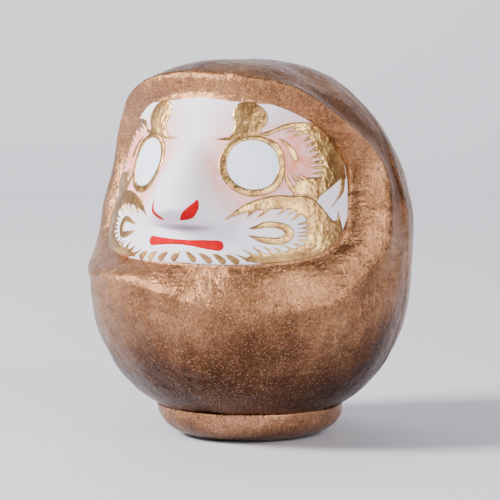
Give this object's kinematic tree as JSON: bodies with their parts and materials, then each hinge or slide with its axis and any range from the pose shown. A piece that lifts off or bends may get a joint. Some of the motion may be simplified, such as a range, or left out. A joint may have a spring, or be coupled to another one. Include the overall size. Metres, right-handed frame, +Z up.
{
  "type": "daruma doll",
  "caption": "Hollow papier-mache roly-poly doll with a copper robe, a recessed white painted face with blank eyes, and a heavy rounded foot.",
  "frame": {"origin": "middle of the flat underside of the foot", "axes": "+Z up through the crown, -Y the way the face looks, +X the doll's own left"},
  "size_m": [0.088, 0.0904, 0.102],
  "materials": {
    "copper_coat": "papier-mache under brushed copper paint with a soft metallic sheen",
    "copper_strip": "pasted paper strip under the same copper paint",
    "copper_foot": "clay foot under the same copper paint",
    "glue": "dried paste",
    "base_paper": "plain unpainted paper",
    "white_ground": "matt chalky white paint with a faint pink blush",
    "eye_white": "smooth blue-white paint",
    "gold_paint": "thick gold metallic paint, lumpy and softly shiny",
    "red_paint": "flat bright red paint"
  },
  "bodies": {
    "root": {"shell_front": "copper_coat", "shell_back": "copper_coat", "seam_strip": "copper_strip", "base_weight": "copper_foot", "base_glue": "glue", "base_paper": "base_paper", "face_ground": "white_ground", "eye_white_left": "eye_white", "eye_white_right": "eye_white", "eye_rim_left": "gold_paint", "eye_rim_right": "gold_paint", "brow_left": "gold_paint", "brow_right": "gold_paint", "crane_wing_left": "gold_paint", "crane_wing_right": "gold_paint", "brow_dab_left": "gold_paint", "brow_dab_right": "gold_paint", "beard_left": "gold_paint", "beard_right": "gold_paint", "beard_hook_left": "gold_paint", "beard_hook_right": "gold_paint", "nostril_left": "red_paint", "nostril_right": "red_paint", "mouth": "red_paint", "chin_dabs": "gold_paint"}
  },
  "joints": []
}
